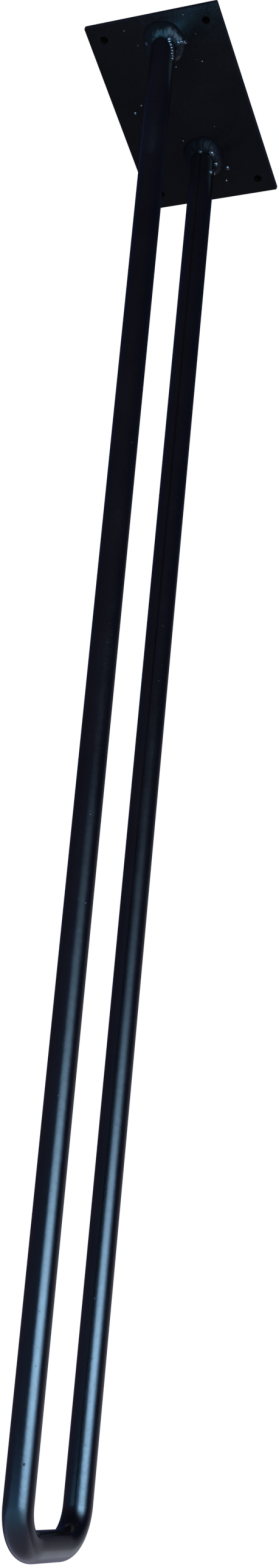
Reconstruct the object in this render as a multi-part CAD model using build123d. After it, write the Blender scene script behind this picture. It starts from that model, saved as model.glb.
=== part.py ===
"""Slanted table leg: a flat screw plate with one round bar, bent into a long narrow U, welded under it.

Sizes are in millimetres and +Z is up. The origin is the centre of the plate's top face, which lies against
the table. The plate's long side runs along X. The U stands in an XZ plane and leans towards +X as it goes down.
"""
import os
from math import atan, degrees, radians, sqrt, tan

from build123d import *

# Screw plate
plate_length = 118.0
plate_width = 78.0
plate_thickness = 2.5
plate_corner_radius = 0.8
plate_edge_break = 0.3
screw_hole_diameter = 4.5
screw_edge_distance_ends = 9.0
screw_edge_distance_sides = 9.0

# Round bar: both spacings are between centre lines, square to the lean
bar_diameter = 14.0
lean_angle = 22.0
leg_length = 759.0
leg_spacing_at_plate = 67.0
leg_spacing_at_foot = 63.5
foot_bend_radius = 17.5
bar_shift_along_plate = -6.0
bar_shift_across_plate = -3.0

# Weld beads: the leg is the bead's reach along the plate and up the bar
weld_leg = 5.0
weld_crown = 0.85
weld_root_margin = 0.6
weld_ripple_pitch = 3.0
weld_ripple_step = 0.2

bar_radius = bar_diameter / 2
plate_underside = Plane.XY.offset(-plate_thickness)
lean_plane = Plane(
    origin=(bar_shift_along_plate, bar_shift_across_plate, -plate_thickness),
    x_dir=Vector(1, 0, 0).rotate(Axis.Y, -lean_angle),
    z_dir=(0, -1, 0),
)


def make_plate():
    """Sheared steel plate with a screw hole near each corner."""
    blank = extrude(RectangleRounded(plate_length, plate_width, plate_corner_radius), -plate_thickness)
    rims = blank.edges().group_by(Axis.Z)
    blank = chamfer(rims[0] + rims[-1], plate_edge_break)
    screw_grid = GridLocations(
        plate_length - 2 * screw_edge_distance_ends, plate_width - 2 * screw_edge_distance_sides, 2, 2
    )
    return blank - [extrude(place * Circle(screw_hole_diameter / 2), -plate_thickness) for place in screw_grid]


def bar_centre_line():
    """The U in its leaning plane, with both legs run on past the plate's underside."""
    overrun = (leg_spacing_at_plate + bar_diameter) / 2 * tan(radians(lean_angle)) + bar_diameter
    taper = (leg_spacing_at_plate - leg_spacing_at_foot) / 2 / leg_length
    top = leg_spacing_at_plate / 2 + taper * overrun
    foot = leg_spacing_at_foot / 2
    corners = [(-top, overrun), (-foot, -leg_length), (foot, -leg_length), (top, overrun)]
    return lean_plane * FilletPolyline(*corners, radius=foot_bend_radius)


def make_bar():
    """One round bar with two tight bends, its ends cut at the lean to seat flat on the plate."""
    path = bar_centre_line()
    section = Plane(origin=path @ 0, z_dir=path % 0) * Circle(bar_radius)
    return split(sweep(section, path=path), bisect_by=plate_underside, keep=Keep.BOTTOM)


def weld_section(root_depth):
    """Convex fillet section in (outward, downward) axes, run back into the bar by the root depth."""
    crown_point = weld_leg / 2 + weld_crown / sqrt(2)
    centre = (2 * crown_point**2 - weld_leg**2) / (4 * crown_point - 2 * weld_leg)
    radius = sqrt(2) * (crown_point - centre)
    quadrant = Pos(-root_depth, -weld_root_margin) * Rectangle(
        2 * weld_leg, 2 * weld_leg, align=(Align.MIN, Align.MIN)
    )
    return Pos(centre, centre) * Circle(radius) & quadrant


def make_weld(seat, bar):
    """Bead all round one bar end, laid down as overlapping ripples that each taper off under the next."""
    rim = seat.outer_wire()
    down = Vector(0, 0, -1)
    section = weld_section(weld_leg * tan(radians(lean_angle)) + weld_root_margin)
    taper = degrees(atan(weld_ripple_step / weld_ripple_pitch))
    length = weld_ripple_pitch * (1.1 + weld_leg / bar_radius)
    count = round(rim.length / weld_ripple_pitch)
    ripples = []
    for index in range(count):
        point = rim @ (index / count)
        outward = (rim % (index / count)).cross(down)
        if outward.dot(point - seat.center()) < 0:
            outward = -outward
        place = Plane(origin=point, x_dir=outward, z_dir=outward.cross(down)).offset(-length / 2)
        ripples.append(extrude(place * section, length, taper=taper))
    bead = ripples[0] + ripples[1:]
    return split(bead - bar, bisect_by=plate_underside, keep=Keep.BOTTOM)


plate = make_plate()
bar = make_bar()
near_seat, far_seat = bar.faces().filter_by(Axis.Z).sort_by(Axis.X)

os.makedirs("parts", exist_ok=True)
export_step(plate, "parts/mounting_plate.step")
export_step(bar, "parts/bent_bar.step")
export_step(make_weld(near_seat, bar), "parts/near_weld.step")
export_step(make_weld(far_seat, bar), "parts/far_weld.step")
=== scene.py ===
"""Looks of the slanted table leg: black enamel over a welded bar and plate, in a plain studio.

Everything is in metres, in the frame of the part: +Z up, origin at the centre of the plate's top face.
"""
from math import atan2, cos, pi, radians, sin, tan

import bmesh
import bpy
from mathutils import Matrix, Vector, noise


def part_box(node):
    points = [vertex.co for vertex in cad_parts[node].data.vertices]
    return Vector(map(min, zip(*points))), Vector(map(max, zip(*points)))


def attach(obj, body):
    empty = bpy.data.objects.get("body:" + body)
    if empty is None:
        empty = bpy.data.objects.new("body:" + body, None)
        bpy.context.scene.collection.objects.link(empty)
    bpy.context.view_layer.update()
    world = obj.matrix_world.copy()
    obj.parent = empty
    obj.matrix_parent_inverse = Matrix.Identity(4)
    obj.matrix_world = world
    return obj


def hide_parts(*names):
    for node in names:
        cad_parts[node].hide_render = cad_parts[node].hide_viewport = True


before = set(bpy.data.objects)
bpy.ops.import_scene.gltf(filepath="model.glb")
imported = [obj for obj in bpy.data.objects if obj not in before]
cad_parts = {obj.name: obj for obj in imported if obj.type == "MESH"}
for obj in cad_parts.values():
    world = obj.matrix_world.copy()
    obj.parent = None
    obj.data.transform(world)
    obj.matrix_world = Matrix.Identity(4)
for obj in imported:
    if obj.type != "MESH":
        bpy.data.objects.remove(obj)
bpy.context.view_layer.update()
plate_low, plate_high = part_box("mounting_plate")
foot_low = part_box("bent_bar")[0].z

UPWARD = Vector((0, 0, 1))
SIDEWAYS = Vector((0, 1, 0))

# Bar, as in the solid it stands for
BAR_RADIUS = 0.007
LEAN = radians(22)
LEG_LENGTH = 0.759
SPACING_AT_PLATE = 0.067
SPACING_AT_FOOT = 0.0635
BEND_RADIUS = 0.0175
TAPER = atan2((SPACING_AT_PLATE - SPACING_AT_FOOT) / 2, LEG_LENGTH)
BAR_ORIGIN = Vector((-0.006, -0.003, plate_low.z))
ACROSS = Vector((cos(LEAN), 0, sin(LEAN)))
DOWN = Vector((sin(LEAN), 0, -cos(LEAN)))

# Fineness of the bar's tube. Its last square ring stays clear of the plate, and a slanted one meets it
BAR_SIDES = 72
BEND_STEPS = 36
LEG_RING_PITCH = 0.008
SEAT_CLEARANCE = BAR_RADIUS * tan(LEAN) * 1.2

# Weld beads: each has its leg (-1 or 1), a seed for its unevenness, and the height of its ripples
WELD_LEG = 0.005
WELD_CROWN = 0.0009
WELD_FULLNESS = 0.8
WELD_PROFILE_STEPS = 18
NEAR_BEAD = (-1, 2.3, 0.00014)
FAR_BEAD = (1, 7.9, 0.0003)

# Unevenness of the beads: by how much reach and crown vary, and how finely they do so round the bar
REACH_VARIES = 0.22
CROWN_VARIES = 0.5
LUMP_SCALE = 1.6
GRAIN_HEIGHT = 0.00012
GRAIN_SCALE = 6

# Ripples of the beads: each rises over most of its length to its top and then drops. They lag at the
# toes, which makes crescents, and wander a little
RIPPLES = 17
STEPS_PER_RIPPLE = 22
RIPPLE_RISE = 0.86
RIPPLE_CURVE = 0.8
RIPPLE_TOP = 0.886
RIPPLE_LAG = 0.55
RIPPLE_WANDER = 0.15
WANDER_SCALE = 3

# How far beads and drops go into what carries them
BEAD_SINK = 0.00006
PLATE_SINK = 0.00005

# Drops: fineness, unevenness and how finely it varies
DOME_RINGS = 7
DOME_SIDES = 20
DOME_VARIES = 0.16
DOME_SCALE = 1.2

# Forms of drops: depth in the ground, width and height in their own radii, first seed, step between seeds
SPATTER_FORM = (0.1, 1.0, 0.7, 0, 3.7)
DROP_FORM = (0.55, 1.1, 0.9, 90, 2.9)
RUN_FORM = (0.35, 1.05, 0.95, 170, 2.9)
SPECK_FORM = (0.0, 1.0, 0.35, 50, 2.3)

# Way in which drops sag, and how much more it bends those on the beads and the bar
DROP_SAG = Vector((-0.32, -0.475, -0.82))
BAR_SAG = 2

# Drops on the plate: place along and across it, radius
SPATTER = (
    (-0.0077, 0.0225, 0.0007), (-0.0038, 0.0277, 0.0009), (-0.0433, 0.0122, 0.0005),
    (-0.0268, -0.0048, 0.0006), (0.0398, -0.0145, 0.0014), (0.0479, -0.0114, 0.0007),
    (0.0183, 0.0058, 0.0005), (-0.0556, -0.0185, 0.0004), (-0.0271, -0.0205, 0.0005),
    (0.0128, -0.0151, 0.0004), (-0.0531, 0.0171, 0.0004), (0.0455, 0.0083, 0.0004),
)

# Drops on the beads: bead, degrees round the bar from sideways, share of the way up the bead, radius
DROPS = (
    (NEAR_BEAD, -138, 0.93, 0.0015), (NEAR_BEAD, -172, 0.62, 0.0011), (NEAR_BEAD, -178, 0.4, 0.0012),
    (NEAR_BEAD, 176, 0.2, 0.0012), (NEAR_BEAD, 171, 0.06, 0.0013), (NEAR_BEAD, -24, 0.55, 0.0013),
    (FAR_BEAD, -147, 0.7, 0.0021), (FAR_BEAD, 163, 0.84, 0.0014), (FAR_BEAD, 121, 0.9, 0.0021),
    (FAR_BEAD, -98, 0.93, 0.0012),
)

# Drops on the bar: leg, distance down it from its point square to the bar's origin, degrees round it
# from sideways, radius. The first seven run down the near leg, from its bead
RUN = (
    (-1, -0.0102, -142, 0.0014), (-1, -0.0086, -149, 0.0014), (-1, -0.0070, -155, 0.0014),
    (-1, -0.0054, -160, 0.0013), (-1, -0.0039, -164, 0.0013), (-1, -0.0024, -167, 0.0012),
    (-1, -0.0010, -168, 0.0011), (1, 0.0266, -160, 0.0015),
)

# Specks in the paint of the bar, told in the same way
SPECKS = (
    (-1, 0.4287, -128.5, 0.0005), (-1, 0.4721, -144.8, 0.0006), (-1, 0.7242, -122, 0.0006),
    (1, 0.6788, -107, 0.0005), (-1, 0.2310, -150, 0.0004), (1, 0.3360, -131, 0.0004),
    (1, 0.5520, 40, 0.0005), (-1, 0.6020, 75, 0.0004), (1, 0.1480, 118, 0.0005),
)

# Paints: dark and light colour, least and most roughness, orange peel, specular level, index of refraction
BAR_PAINT = ((0.0026, 0.0026, 0.0036), (0.0052, 0.005, 0.0066), 0.17, 0.26, 0.12, 0.5, 1.52)
NEAR_BEAD_PAINT = ((0.0018, 0.0022, 0.0034), (0.004, 0.005, 0.008), 0.26, 0.42, 0.3, 0.26, 1.52)
FAR_BEAD_PAINT = ((0.0018, 0.0018, 0.0036), (0.004, 0.004, 0.008), 0.42, 0.6, 0.3, 0.14, 1.52)
DROP_PAINT = ((0.0026, 0.0028, 0.004), (0.006, 0.0064, 0.009), 0.1, 0.16, 0.1, 1.0, 1.75)

# Fineness of what makes the paint uneven, in features to the metre, and depth of its relief
CLOUD_SCALE = 22
RUBBED_SCALE = 55
SHEEN_SCALE = 900
PEEL_SCALE, PEEL_DEPTH = 260, 0.0004
FINE_PEEL_SCALE, FINE_PEEL_DEPTH = 1500, 0.00008
NIB_SCALE, NIB_DEPTH, NIB_STRENGTH = 620, 0.0001, 0.5

# View of the photograph
CAMERA_AIM = Vector((0.1517, -0.0104, -0.3688))
CAMERA_AZIMUTH = radians(-60.74)
CAMERA_ELEVATION = radians(-36.96)
CAMERA_ROLL = radians(16.37)
CAMERA_DISTANCE = 1.0034
CAMERA_LENS = 45.9
CAMERA_SENSOR = 36.0
CAMERA_CLIP = (0.01, 50)

# World: its light on the object, and its white to the eye
WORLD_LIGHT = 0.5
WORLD_WHITE = 1.0

# What the glossy paint mirrors of the world: the room by height, and a pale place in it by how nearly
# a ray points there
ROOM_SHADES = (
    (0.12, (0.052, 0.057, 0.085)), (0.22, (0.07, 0.11, 0.22)), (0.31, (0.09, 0.18, 0.38)),
    (0.4, (0.09, 0.13, 0.28)), (0.5, (0.08, 0.075, 0.17)), (0.6, (0.05, 0.045, 0.1)),
    (0.69, (0.02, 0.03, 0.1)), (0.8, (0.012, 0.02, 0.07)), (0.94, (0.012, 0.02, 0.07)),
    (0.98, (0.2, 0.2, 0.22)),
)
PALE_WAY = (0.968, -0.25, 0.0)
PALE_SHADES = (
    (0.62, (0, 0, 0)), (0.74, (0.08, 0.075, 0.08)), (0.84, (0.2, 0.19, 0.21)), (0.9, (0.25, 0.26, 0.31)),
    (0.96, (0.41, 0.42, 0.46)), (0.99, (0.78, 0.86, 0.96)),
)

# Floor: size, shade and glow under the part, and the distances between which it turns to plain white
FLOOR_SIZE = 60
FLOOR_SHADE = 0.88
FLOOR_GLOW = 0.4
FLOOR_FADE = (0.7, 4.0)

# Dark sheet behind the screw holes, which paints the shade seen through them: colour, gap above the plate,
# and how far inside its rim it ends
PAINTED_HOLE_SHADE = (0.004, 0.004, 0.005)
BACKING_GAP = 0.0001
BACKING_MARGIN = 0.004

STAGE_ROUGHNESS = 0.9

# The window that the glossy paint mirrors, as a card: the way to it from the bars, how far down the lean
# and how far off it is, width and length, shift along it, and strength
SKY_WAY = Vector((-0.575, -0.796, -0.198)).normalized()
SKY_DOWN = 0.40
SKY_DISTANCE = 0.7
SKY_SIZE = (1.2, 1.0)
SKY_SHIFT = 0.25
SKY_STRENGTH = 17.5

# Its level along it, its colour across it, and the drift of the colours: from, to, by, by
SKY_ALONG = (
    (0.03, 0.0), (0.12, 0.03), (0.22, 0.092), (0.285, 0.175), (0.335, 0.31), (0.385, 0.48), (0.43, 0.65),
    (0.48, 0.87), (0.525, 0.97), (0.58, 1.0), (0.62, 0.95), (0.645, 0.78), (0.668, 0.45), (0.7, 0.27),
    (0.75, 0.17), (0.84, 0.1), (1.0, 0.02),
)
SKY_ACROSS = (
    (0.0, (0, 0, 0)), (0.083, (0.01, 0.03, 0.06)), (0.15, (0.05, 0.11, 0.2)), (0.225, (0.17, 0.33, 0.5)),
    (0.3, (0.29, 0.52, 0.75)), (0.417, (0.39, 0.68, 0.95)), (0.54, (0.42, 0.72, 1.0)),
    (0.667, (0.36, 0.62, 0.88)), (0.72, (0.26, 0.46, 0.68)), (0.775, (0.13, 0.26, 0.42)),
    (0.9, (0.05, 0.12, 0.22)), (1.0, (0.02, 0.05, 0.1)),
)
SKY_DRIFT = (0.62, 0.74, 0, 0.18)

# The floor's glow under the foot, as a card: middle, depth below the foot, width and length, strength,
# colour along it and level across it
GLOW_MIDDLE = (0.25, -0.05)
GLOW_DEPTH = 0.03
GLOW_SIZE = (0.4, 0.34)
GLOW_STRENGTH = 2.5
GLOW_ALONG = (
    (0.0, (0, 0, 0)), (0.1, (0.045, 0.13, 0.26)), (0.25, (0.11, 0.33, 0.59)), (0.36, (0.12, 0.31, 0.52)),
    (0.46, (0.13, 0.17, 0.28)), (0.55, (0.13, 0.125, 0.19)), (0.75, (0.21, 0.19, 0.19)),
    (1.0, (0.08, 0.07, 0.07)),
)
GLOW_ACROSS = ((0.0, 0.0), (0.18, 1.0), (0.82, 1.0), (1.0, 0.0))

# Lamps: size across, power and colour. The first hangs tilted overhead, and the second shines up from
# its place below the near end of the bar
OVERHEAD_LAMP = (1.6, 20, (1, 1, 1))
OVERHEAD_PLACE = (-0.4, 0.5, 1.6)
OVERHEAD_TILT = radians(-14)
BEAD_LAMP = (0.06, 0.05, (0.19, 0.6, 1.0))
BEAD_LAMP_OFFSET = Vector((-0.025, 0, -0.06))


# Node helpers

def new_material(name):
    """A node material with its Principled shader."""
    material = bpy.data.materials.new(name)
    material.use_nodes = True
    return material, material.node_tree.nodes["Principled BSDF"]


def add_node(tree, kind, **inputs):
    """A node with some of its sockets set, by socket name."""
    node = tree.nodes.new(kind)
    for name, value in inputs.items():
        node.inputs[name.replace("_", " ")].default_value = value
    return node


def noise_at(tree, scale, detail, roughness=0.5):
    """Noise in the object's own metres, its features about 1/scale wide."""
    place = tree.nodes.new("ShaderNodeTexCoord")
    node = add_node(tree, "ShaderNodeTexNoise", Scale=scale, Detail=detail, Roughness=roughness)
    tree.links.new(place.outputs["Object"], node.inputs["Vector"])
    return node.outputs["Fac"]


def ramp(tree, source, stops, curve="LINEAR"):
    """Colour ramp through (position, colour) stops."""
    node = tree.nodes.new("ShaderNodeValToRGB")
    node.color_ramp.interpolation = curve
    elements = node.color_ramp.elements
    while len(elements) < len(stops):
        elements.new(0.5)
    for element, (position, colour) in zip(elements, stops):
        element.position = position
        element.color = (*colour, 1)
    tree.links.new(source, node.inputs["Fac"])
    return node.outputs["Color"]


def spread(tree, source, low, high, to_low, to_high, kind="LINEAR"):
    """Remaps a value from one range to another."""
    node = add_node(tree, "ShaderNodeMapRange", From_Min=low, From_Max=high, To_Min=to_low, To_Max=to_high)
    node.interpolation_type = kind
    tree.links.new(source, node.inputs["Value"])
    return node.outputs["Result"]


def math_node(tree, operation, first, second):
    """Joins two values; either may be a number."""
    node = tree.nodes.new("ShaderNodeMath")
    node.operation = operation
    for socket, value in zip(node.inputs, (first, second)):
        if isinstance(value, (int, float)):
            socket.default_value = value
        else:
            tree.links.new(value, socket)
    return node.outputs["Value"]


def vector_node(tree, operation, first, second=None):
    """Works on one vector, or joins two; the second may be fixed."""
    node = tree.nodes.new("ShaderNodeVectorMath")
    node.operation = operation
    tree.links.new(first, node.inputs[0])
    if isinstance(second, tuple):
        node.inputs[1].default_value = second
    elif second is not None:
        tree.links.new(second, node.inputs[1])
    return node


def mix_shaders(tree, share, first, second):
    """Goes from the first shader to the second as the share goes from 0 to 1."""
    node = tree.nodes.new("ShaderNodeMixShader")
    for socket, source in zip(node.inputs, (share, first, second)):
        tree.links.new(source, socket)
    return node.outputs["Shader"]


def bump(tree, height, distance, strength, below=None):
    """A bump, on top of another where one is given."""
    node = add_node(tree, "ShaderNodeBump", Distance=distance, Strength=strength)
    tree.links.new(height, node.inputs["Height"])
    if below is not None:
        tree.links.new(below, node.inputs["Normal"])
    return node.outputs["Normal"]


# Materials

def enamel(name, paint):
    """Sprayed black enamel: cloudy colour, faint rubbed patches, orange peel and dust nibs."""
    dark, light, gloss, rough, peel, specular, refraction = paint
    material, shader = new_material(name)
    tree = material.node_tree
    clouds = noise_at(tree, CLOUD_SCALE, detail=5)
    tree.links.new(ramp(tree, clouds, ((0.35, dark), (0.7, light))), shader.inputs["Base Color"])

    patches = noise_at(tree, RUBBED_SCALE, detail=6, roughness=0.65)
    rubbed = spread(tree, patches, 0.3, 0.75, gloss, rough)
    fine = spread(tree, noise_at(tree, SHEEN_SCALE, detail=2), 0.3, 0.7, -0.03, 0.03)
    tree.links.new(math_node(tree, "ADD", rubbed, fine), shader.inputs["Roughness"])

    normal = bump(tree, noise_at(tree, PEEL_SCALE, detail=2), PEEL_DEPTH, peel)
    normal = bump(tree, noise_at(tree, FINE_PEEL_SCALE, detail=1), FINE_PEEL_DEPTH, peel, normal)
    nibs = spread(tree, noise_at(tree, NIB_SCALE, detail=1), 0.74, 0.8, 0, 1)
    normal = bump(tree, nibs, NIB_DEPTH, NIB_STRENGTH, normal)
    tree.links.new(normal, shader.inputs["Normal"])
    shader.inputs["Specular IOR Level"].default_value = specular
    shader.inputs["IOR"].default_value = refraction
    return material


# Meshes

def finish_mesh(mesh, name):
    """Turns a bmesh into an object of the scene, smooth but for its flat ends."""
    bmesh.ops.recalc_face_normals(mesh, faces=mesh.faces)
    data = bpy.data.meshes.new(name)
    mesh.to_mesh(data)
    mesh.free()
    for face in data.polygons:
        face.use_smooth = len(face.vertices) <= 4
    piece = bpy.data.objects.new(name, data)
    bpy.context.scene.collection.objects.link(piece)
    return piece


def skin(mesh, rings, closed_rings=True):
    """Quads between each ring of corners and the next."""
    for ring, following in zip(rings, rings[1:]):
        for k in range(len(ring) if closed_rings else len(ring) - 1):
            n = (k + 1) % len(ring)
            mesh.faces.new((ring[k], ring[n], following[n], following[k]))


def ride_as(piece, material, replaced=()):
    """Dresses a piece, ties it to the body and hides the parts that it stands in for."""
    piece.data.materials.append(material)
    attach(piece, "root")
    for node in replaced:
        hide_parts(node)


def leg_top(side):
    """Point of one leg's centre line square to the bar's origin."""
    return BAR_ORIGIN + ACROSS * side * SPACING_AT_PLATE / 2


def leg_axis(side):
    """Direction down one leg, which leans in a little towards the other."""
    return DOWN * cos(TAPER) - ACROSS * side * sin(TAPER)


def bar_point(side, distance, angle):
    """A point on the skin of one leg, and the way out of it."""
    axis = leg_axis(side)
    inward = (ACROSS - axis * ACROSS.dot(axis)).normalized()
    normal = SIDEWAYS * cos(angle) + inward * sin(angle)
    return leg_top(side) + axis * distance + normal * BAR_RADIUS, normal


def bar_path():
    """Centre line of the U in its own plane, with its heading, from one plate seat to the other."""
    foot = SPACING_AT_FOOT / 2
    turn = pi / 2 + TAPER
    heading = Vector((sin(TAPER), cos(TAPER)))
    corner = Vector((-foot, LEG_LENGTH))
    bend_start = corner - heading * BEND_RADIUS * tan(turn / 2)
    centre = bend_start + Vector((heading.y, -heading.x)) * BEND_RADIUS
    halves = []
    for side in (-1, 1):
        half = []
        seat = side * SPACING_AT_PLATE / 2 * tan(LEAN)
        start = corner - heading * ((LEG_LENGTH - seat - SEAT_CLEARANCE) / cos(TAPER))
        rings = round((bend_start - start).length / LEG_RING_PITCH)
        half.extend((start.lerp(bend_start, i / rings), heading) for i in range(rings))
        for i in range(BEND_STEPS + 1):
            angle = TAPER + turn * i / BEND_STEPS
            way = Vector((sin(angle), cos(angle)))
            half.append((centre - Vector((way.y, -way.x)) * BEND_RADIUS, way))
        halves.append(half)
    other = [(Vector((-p.x, p.y)), Vector((h.x, -h.y))) for p, h in reversed(halves[1])]
    return halves[0] + other


def make_bar(material):
    """The bent bar as one smooth tube, its ends cut flat on the plate."""
    mesh = bmesh.new()
    path = bar_path()
    rings = []
    for point, heading in path:
        side = (ACROSS * heading.x + DOWN * heading.y).cross(SIDEWAYS)
        centre = BAR_ORIGIN + ACROSS * point.x + DOWN * point.y
        angles = [2 * pi * k / BAR_SIDES for k in range(BAR_SIDES)]
        rings.append([centre + (side * cos(a) + SIDEWAYS * sin(a)) * BAR_RADIUS for a in angles])
    for end, way in ((0, 1), (-1, -1)):
        heading = path[end][1]
        axis = (ACROSS * heading.x + DOWN * heading.y) * way
        seat = [place - axis * ((place.z - plate_low.z) / axis.z) for place in rings[end]]
        rings.insert(0 if way == 1 else len(rings), seat)
    corners = [[mesh.verts.new(place) for place in ring] for ring in rings]
    skin(mesh, corners)
    mesh.faces.new(corners[0])
    mesh.faces.new(corners[-1])
    ride_as(finish_mesh(mesh, "bar_smooth"), material, ["bent_bar"])


def unevenness(way, scale, layer):
    """Smooth noise from -1 to 1 by direction, apart for each layer."""
    return noise.noise(way * scale + Vector((0, 0, layer)))


def bead_point(bead, angle, t):
    """A point of a bead, t of the way from its plate toe to its bar toe, and the way that it bulges."""
    side, seed, ripple_height = bead
    axis = leg_axis(side)
    radial = SIDEWAYS * cos(angle) + axis.cross(SIDEWAYS) * sin(angle)
    edge = leg_top(side) + radial * BAR_RADIUS
    root = edge - axis * ((edge.z - plate_low.z) / axis.z)
    outward = Vector((radial.x, radial.y, 0)).normalized()
    turn = Vector((cos(angle), sin(angle), 0))
    lump = unevenness(turn, LUMP_SCALE, seed)
    reach_out = WELD_LEG * (1 + REACH_VARIES * lump)
    reach_up = WELD_LEG * (1 + REACH_VARIES * unevenness(turn, LUMP_SCALE, seed + 9))
    way = (outward + axis).normalized()
    arch = 4 * t * (1 - t)
    wander = RIPPLE_WANDER * unevenness(turn, WANDER_SCALE, seed + t)
    beat = (angle / (2 * pi) * RIPPLES + RIPPLE_LAG * (1 - arch) + wander) % 1
    if beat < RIPPLE_RISE:
        ripple = ripple_height * beat ** RIPPLE_CURVE
    else:
        ripple = ripple_height * (1 - beat) / (1 - RIPPLE_RISE) * RIPPLE_TOP
    grain = GRAIN_HEIGHT * unevenness(turn, GRAIN_SCALE, seed + 3 + t * 4)
    lift = arch ** WELD_FULLNESS * (WELD_CROWN * (1 + CROWN_VARIES * lump) + ripple + grain) - BEAD_SINK
    point = (root + outward * reach_out).lerp(root + axis * reach_up, t) + way * lift
    return (point - radial * BEAD_SINK if t == 1 else point), way


def make_weld(name, bead, material, node):
    """A weld bead laid round one bar end: crescent ripples of uneven width between plate and bar."""
    mesh = bmesh.new()
    steps = RIPPLES * STEPS_PER_RIPPLE
    shares = [j / WELD_PROFILE_STEPS for j in range(WELD_PROFILE_STEPS + 1)]
    corners = []
    for i in range(steps):
        ring = [bead_point(bead, 2 * pi * i / steps, t)[0] for t in shares]
        ring[0].z = plate_low.z + PLATE_SINK
        corners.append([mesh.verts.new(place) for place in ring])
    skin(mesh, corners + [corners[0]], closed_rings=False)
    ride_as(finish_mesh(mesh, name), material, [node])


def add_dome(mesh, centre, normal, radius, height, seed):
    """A small uneven dome, open where it goes into its ground."""
    side = normal.orthogonal().normalized()
    other = normal.cross(side)
    rings = []
    for j in range(DOME_RINGS):
        tilt = pi / 2 * j / DOME_RINGS
        ring = []
        for k in range(DOME_SIDES):
            angle = 2 * pi * k / DOME_SIDES
            way = Vector((cos(angle) * DOME_SCALE, sin(angle) * DOME_SCALE, seed + tilt))
            wobble = 1 + DOME_VARIES * noise.noise(way)
            flat = (side * cos(angle) + other * sin(angle)) * radius * cos(tilt) * wobble
            rise = normal * (height * sin(tilt) * wobble - PLATE_SINK)
            ring.append(mesh.verts.new(centre + flat + rise))
        rings.append(ring)
    skin(mesh, rings)
    tip = mesh.verts.new(centre + normal * height)
    for k in range(DOME_SIDES):
        mesh.faces.new((rings[-1][k], rings[-1][(k + 1) % DOME_SIDES], tip))


def add_drop(mesh, place, outward, lean, radius, form, index):
    """A drop of one of the forms, set into its ground at a place and leaning its own way."""
    depth, width, height, first_seed, seed_step = form
    centre = place - outward * radius * depth
    add_dome(mesh, centre, lean, radius * width, radius * height, first_seed + index * seed_step)


def make_spatter(material):
    """Painted-over drops of weld metal on the plate's underside, on the beads and down the bar."""
    mesh = bmesh.new()
    plate_lean = (DROP_SAG - UPWARD).normalized()
    for index, (x, y, radius) in enumerate(SPATTER):
        place = Vector((x, y, plate_low.z))
        add_drop(mesh, place, plate_lean, plate_lean, radius, SPATTER_FORM, index)
    for index, (bead, angle, t, radius) in enumerate(DROPS):
        place, outward = bead_point(bead, radians(angle), t)
        lean = (outward + DROP_SAG * BAR_SAG).normalized()
        add_drop(mesh, place, outward, lean, radius, DROP_FORM, index)
    for index, (side, distance, angle, radius) in enumerate(RUN):
        place, outward = bar_point(side, distance, radians(angle))
        lean = (outward + DROP_SAG * BAR_SAG).normalized()
        add_drop(mesh, place, outward, lean, radius, RUN_FORM, index)
    ride_as(finish_mesh(mesh, "weld_spatter"), material)


def make_specks(material):
    """Grit caught under the bar's paint."""
    mesh = bmesh.new()
    for index, (side, distance, angle, radius) in enumerate(SPECKS):
        place, outward = bar_point(side, distance, radians(angle))
        add_drop(mesh, place, outward, outward, radius, SPECK_FORM, index)
    ride_as(finish_mesh(mesh, "paint_specks"), material)


# Stage

def make_camera():
    """The photograph's view: below the foot, looking up along the leg at the plate's underside."""
    back = Vector((
        sin(CAMERA_AZIMUTH) * cos(CAMERA_ELEVATION),
        -cos(CAMERA_AZIMUTH) * cos(CAMERA_ELEVATION),
        sin(CAMERA_ELEVATION),
    ))
    level = (-back).cross(UPWARD).normalized()
    upright = level.cross(-back)
    right = level * cos(CAMERA_ROLL) + upright * sin(CAMERA_ROLL)
    up = upright * cos(CAMERA_ROLL) - level * sin(CAMERA_ROLL)
    data = bpy.data.cameras.new("camera")
    data.lens = CAMERA_LENS
    data.sensor_width = CAMERA_SENSOR
    data.clip_start, data.clip_end = CAMERA_CLIP
    camera = bpy.data.objects.new("camera", data)
    turn = Matrix((right, up, back)).transposed().to_4x4()
    camera.matrix_world = Matrix.Translation(CAMERA_AIM + back * CAMERA_DISTANCE) @ turn
    bpy.context.scene.collection.objects.link(camera)
    bpy.context.scene.camera = camera


def make_world():
    """White to the eye and through clear things. Mirrors see a dim room with one pale place."""
    world = bpy.data.worlds.new("studio")
    bpy.context.scene.world = world
    world.use_nodes = True
    tree = world.node_tree
    ray = tree.nodes.new("ShaderNodeLightPath")
    way = tree.nodes.new("ShaderNodeTexCoord").outputs["Generated"]
    split = tree.nodes.new("ShaderNodeSeparateXYZ")
    tree.links.new(way, split.inputs["Vector"])
    room = ramp(tree, spread(tree, split.outputs["Z"], -1, 1, 0, 1), ROOM_SHADES, "EASE")
    nearness = vector_node(tree, "DOT_PRODUCT", way, PALE_WAY).outputs["Value"]
    pale = ramp(tree, nearness, PALE_SHADES, "EASE")
    mirrored = tree.nodes.new("ShaderNodeBackground")
    tree.links.new(vector_node(tree, "ADD", room, pale).outputs["Vector"], mirrored.inputs["Color"])
    plain = add_node(tree, "ShaderNodeBackground", Color=(1, 1, 1, 1), Strength=WORLD_LIGHT)
    white = add_node(tree, "ShaderNodeBackground", Color=(1, 1, 1, 1), Strength=WORLD_WHITE)
    seen = math_node(tree, "MAXIMUM", ray.outputs["Is Camera Ray"], ray.outputs["Is Transmission Ray"])
    unseen = mix_shaders(
        tree, ray.outputs["Is Glossy Ray"], plain.outputs["Background"], mirrored.outputs["Background"]
    )
    shown = mix_shaders(tree, seen, unseen, white.outputs["Background"])
    tree.links.new(shown, tree.nodes["World Output"].inputs["Surface"])


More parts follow.
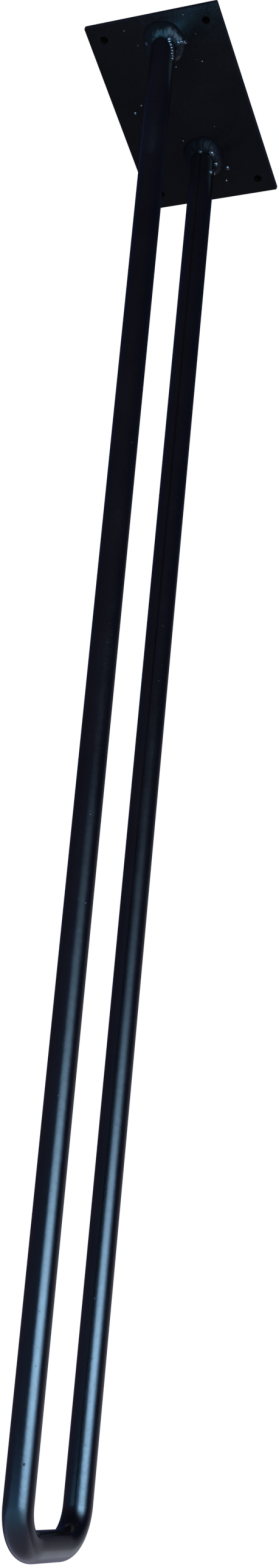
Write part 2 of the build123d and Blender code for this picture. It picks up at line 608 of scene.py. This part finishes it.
def make_sheet(name, centre, normal, long_way, width, length):
    """A flat rectangle of the stage, which faces along its normal."""
    normal = normal.normalized()
    long_way = (long_way - normal * long_way.dot(normal)).normalized()
    data = bpy.data.meshes.new(name)
    corners = [(u * width / 2, v * length / 2, 0) for u, v in ((-1, -1), (1, -1), (1, 1), (-1, 1))]
    data.from_pydata(corners, [], [(0, 1, 2, 3)])
    sheet = bpy.data.objects.new(name, data)
    turn = Matrix((long_way.cross(normal), long_way, normal)).transposed().to_4x4()
    sheet.matrix_world = Matrix.Translation(centre) @ turn
    bpy.context.scene.collection.objects.link(sheet)
    return sheet


def matt_front(name, colour):
    """A stage material without gloss, and clear from behind."""
    material, shader = new_material(name)
    shader.inputs["Base Color"].default_value = (*colour, 1)
    shader.inputs["Roughness"].default_value = STAGE_ROUGHNESS
    shader.inputs["Specular IOR Level"].default_value = 0.0
    tree = material.node_tree
    side = tree.nodes.new("ShaderNodeNewGeometry")
    clear = tree.nodes.new("ShaderNodeBsdfTransparent")
    both = mix_shaders(tree, side.outputs["Backfacing"], shader.outputs["BSDF"], clear.outputs["BSDF"])
    tree.links.new(both, tree.nodes["Material Output"].inputs["Surface"])
    return material, shader


def make_floor():
    """Pale floor at the foot, white far off. It is clear from below, where the photograph looks up."""
    floor = make_sheet("floor", Vector((0, 0, foot_low)), UPWARD, SIDEWAYS, FLOOR_SIZE, FLOOR_SIZE)
    material, shader = matt_front("floor_pale", (FLOOR_SHADE,) * 3)
    shader.inputs["Emission Color"].default_value = (1, 1, 1, 1)
    tree = material.node_tree
    place = tree.nodes.new("ShaderNodeTexCoord").outputs["Object"]
    distance = vector_node(tree, "LENGTH", place).outputs["Value"]
    shade = spread(tree, distance, *FLOOR_FADE, FLOOR_SHADE, 0, "SMOOTHSTEP")
    tree.links.new(ramp(tree, shade, ((0, (0, 0, 0)), (1, (1, 1, 1)))), shader.inputs["Base Color"])
    glow = spread(tree, distance, *FLOOR_FADE, FLOOR_GLOW, 1, "SMOOTHSTEP")
    tree.links.new(glow, shader.inputs["Emission Strength"])
    floor.data.materials.append(material)
    floor.visible_glossy = False
    floor.visible_diffuse = False
    floor.visible_shadow = False


def make_painted_hole_shade():
    """Dark sheet just above the plate that paints the shade seen through the screw holes; it shows only
    from below and only through them.
    """
    length = plate_high.x - plate_low.x - 2 * BACKING_MARGIN
    width = plate_high.y - plate_low.y - 2 * BACKING_MARGIN
    centre = Vector((0, 0, plate_high.z + BACKING_GAP))
    backing = make_sheet("hole_backing", centre, -UPWARD, Vector((1, 0, 0)), width, length)
    # Its dark colour is painted shade, standing for the shade seen through the holes
    backing.data.materials.append(matt_front("painted_hole_shade", PAINTED_HOLE_SHADE)[0])
    backing.visible_shadow = False
    backing.visible_diffuse = False


def light_card(card, strength, colours, colours_on, levels, levels_on, drift=None):
    """Makes the front of a sheet glow for mirrors only, with colours one way over it and levels the other.

    The drift (from, to, by, by) moves the colours aside between two places along the levels.
    """
    card.visible_camera = False
    card.visible_diffuse = False
    card.visible_shadow = False
    material = bpy.data.materials.new(card.name + "_glow")
    material.use_nodes = True
    tree = material.node_tree
    tree.nodes.clear()
    place = tree.nodes.new("ShaderNodeTexCoord")
    split = tree.nodes.new("ShaderNodeSeparateXYZ")
    tree.links.new(place.outputs["Generated"], split.inputs["Vector"])
    glow = tree.nodes.new("ShaderNodeEmission")
    across = split.outputs[colours_on]
    if drift:
        aside = spread(tree, split.outputs[levels_on], *drift, "SMOOTHSTEP")
        across = math_node(tree, "SUBTRACT", across, aside)
    tree.links.new(ramp(tree, across, colours), glow.inputs["Color"])
    level = ramp(tree, split.outputs[levels_on], [(at, (value,) * 3) for at, value in levels])
    side = tree.nodes.new("ShaderNodeNewGeometry")
    front = math_node(tree, "SUBTRACT", 1, side.outputs["Backfacing"])
    shown = math_node(tree, "MULTIPLY", level, front)
    tree.links.new(math_node(tree, "MULTIPLY", shown, strength), glow.inputs["Strength"])
    clear = tree.nodes.new("ShaderNodeBsdfTransparent")
    both = tree.nodes.new("ShaderNodeAddShader")
    tree.links.new(glow.outputs["Emission"], both.inputs[0])
    tree.links.new(clear.outputs["BSDF"], both.inputs[1])
    out = tree.nodes.new("ShaderNodeOutputMaterial")
    tree.links.new(both.outputs["Shader"], out.inputs["Surface"])
    card.data.materials.append(material)


def make_cards():
    """The window that the bars mirror, brightest beside the foot, and the floor's glow under the foot."""
    middle = BAR_ORIGIN + DOWN * SKY_DOWN + SKY_WAY * SKY_DISTANCE
    window = make_sheet("sky_card", middle, -SKY_WAY, DOWN, *SKY_SIZE)
    window.matrix_world = window.matrix_world @ Matrix.Translation((0, SKY_SHIFT, 0))
    light_card(window, SKY_STRENGTH, SKY_ACROSS, "X", SKY_ALONG, "Y", SKY_DRIFT)
    below = Vector((*GLOW_MIDDLE, foot_low - GLOW_DEPTH))
    floor_glow = make_sheet("floor_card", below, UPWARD, Vector((1, 0, 0)), *GLOW_SIZE)
    light_card(floor_glow, GLOW_STRENGTH, GLOW_ALONG, "Y", GLOW_ACROSS, "X")


def make_lamp(name, size, energy, colour, place):
    """A soft round lamp, which shines down its own Z."""
    lamp = bpy.data.lights.new(name, "AREA")
    lamp.shape = "DISK"
    lamp.size = size
    lamp.energy = energy
    lamp.color = colour
    holder = bpy.data.objects.new(name, lamp)
    holder.matrix_world = place
    holder.visible_camera = False
    bpy.context.scene.collection.objects.link(holder)
    return holder


def make_lamps():
    """Broad soft lamp overhead, and a faint blue one for mirrors only, below the near bead."""
    overhead = Matrix.Translation(OVERHEAD_PLACE) @ Matrix.Rotation(OVERHEAD_TILT, 4, "Y")
    make_lamp("overhead", *OVERHEAD_LAMP, overhead).visible_glossy = False
    below = Matrix.Translation(leg_top(-1) + BEAD_LAMP_OFFSET) @ Matrix.Rotation(pi, 4, "X")
    make_lamp("bead_glow", *BEAD_LAMP, below).visible_diffuse = False


# Assembly

def main():
    """Builds and dresses every piece, then the stage."""
    bar_paint = enamel("black_enamel", BAR_PAINT)
    near_paint = enamel("bead_enamel", NEAR_BEAD_PAINT)
    far_paint = enamel("dull_enamel", FAR_BEAD_PAINT)
    drop_paint = enamel("drop_enamel", DROP_PAINT)
    make_bar(bar_paint)
    make_weld("near_bead", NEAR_BEAD, near_paint, "near_weld")
    make_weld("far_bead", FAR_BEAD, far_paint, "far_weld")
    make_spatter(drop_paint)
    make_specks(bar_paint)
    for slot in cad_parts["mounting_plate"].material_slots:
        slot.material = bar_paint
    make_floor()
    make_painted_hole_shade()
    make_cards()
    make_lamps()
    make_world()
    make_camera()
    bpy.context.scene.view_settings.view_transform = "Standard"


main()
